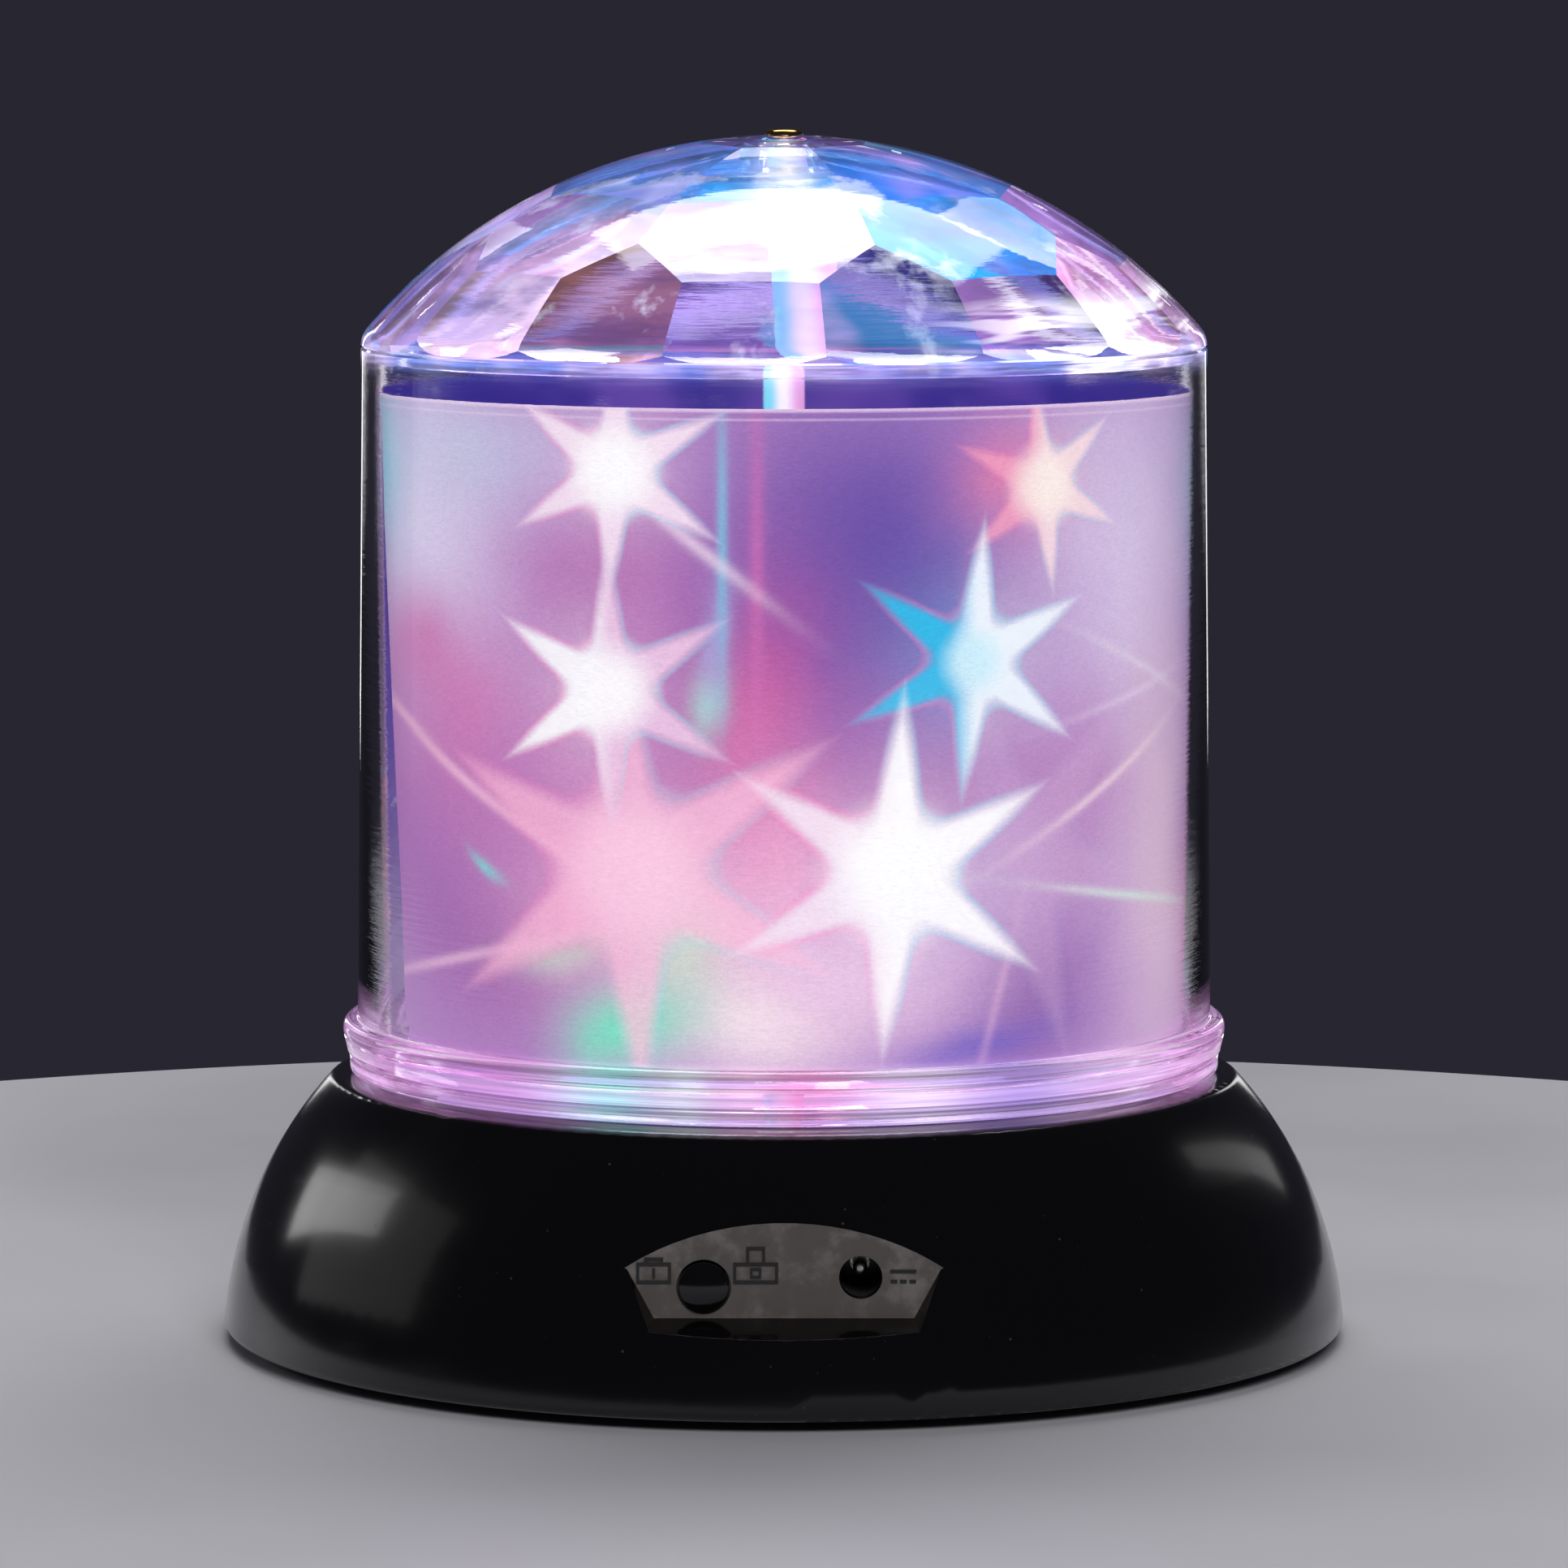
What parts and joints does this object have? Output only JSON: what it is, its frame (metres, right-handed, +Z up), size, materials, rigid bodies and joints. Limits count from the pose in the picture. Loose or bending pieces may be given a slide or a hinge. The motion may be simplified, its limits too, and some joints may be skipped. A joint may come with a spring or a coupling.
{
  "type": "rotating star projector lamp",
  "caption": "Table night light: gloss black bowl base with push button and DC socket, and a clear turning drum with a faceted dome lens and a star hologram film.",
  "frame": {"origin": "on the table under the middle of the round base", "axes": "+Z up along the spindle, -Y out of the control panel, +X to the right of someone facing the panel"},
  "size_m": [0.1652, 0.1652, 0.1775],
  "materials": {
    "gloss_black": "gloss black moulding",
    "black_cover": "fine-textured black moulding",
    "clear_plastic": "polished clear polystyrene",
    "film": "hologram film, lit from inside",
    "white_satin": "white satin moulding",
    "brass": "brassed screw",
    "steel": "zinc-plated steel",
    "rubber": "moulded rubber",
    "board_green": "solder-masked board",
    "acetal": "natural acetal",
    "cell_wrap": "printed shrink sleeve, plain",
    "red_lens": "tinted epoxy",
    "green_lens": "tinted epoxy",
    "blue_lens": "tinted epoxy",
    "lead_sleeve": "PVC lead"
  },
  "bodies": {
    "base": {"base_housing": "gloss_black", "base_plate": "black_cover", "base_screws": "steel", "battery_contacts": "steel", "battery_springs": "steel", "battery_cell_1": "cell_wrap", "battery_cell_2": "cell_wrap", "battery_cell_3": "cell_wrap", "gearmotor_case": "white_satin", "gearmotor_lid": "white_satin", "motor_can": "steel", "gearmotor_screws": "steel", "pivot_bearing": "acetal", "thrust_washer": "acetal", "spindle_bush": "acetal", "reflector_plate": "white_satin", "reflector_screws": "steel", "led_board": "board_green", "led_board_screws": "steel", "led_resistors": "black_cover", "control_board": "board_green", "control_board_screws": "steel", "board_components": "black_cover", "dc_socket_body": "black_cover", "dc_socket_pin": "steel", "dc_socket_contact": "steel", "push_switch_body": "black_cover", "battery_lead": "lead_sleeve", "motor_lead": "lead_sleeve", "led_lead": "lead_sleeve", "foot_front": "rubber", "foot_right": "rubber", "foot_rear": "rubber", "foot_left": "rubber", "led_red": "red_lens", "led_green": "green_lens", "led_blue": "blue_lens"},
    "drum": {"dome_lens": "clear_plastic", "drum_tube": "clear_plastic", "film_retainer_ring": "clear_plastic", "hologram_film": "film", "spindle": "white_satin", "spindle_gear": "acetal", "top_screw": "brass"},
    "pinion": {"output_shaft": "steel", "motor_pinion": "acetal"},
    "button": {"power_button": "gloss_black", "switch_plunger": "acetal"},
    "door": {"battery_door": "black_cover", "battery_door_screw": "steel"}
  },
  "joints": [
    {"name": "drum_spin", "type": "hinge", "parent": "base", "child": "drum", "pos_m": [0, 0, 0.04], "axis": [0, 0, 1], "continuous": true},
    {"name": "pinion_spin", "type": "hinge", "parent": "base", "child": "pinion", "pos_m": [-0.0192, 0, 0.0274], "axis": [0, 0, 1], "continuous": true},
    {"name": "button_press", "type": "slide", "parent": "base", "child": "button", "axis": [0, 1, 0], "range_m": [0, 0.002], "stiffness_N_per_m": 400},
    {"name": "battery_door_hinge", "type": "hinge", "parent": "base", "child": "door", "pos_m": [0, 0.05855, 0.0027], "axis": [1, 0, 0], "range_deg": [0, 75]}
  ],
  "couplings": [
    {"joint": "pinion_spin", "follows": "drum_spin", "ratio": -3}
  ]
}
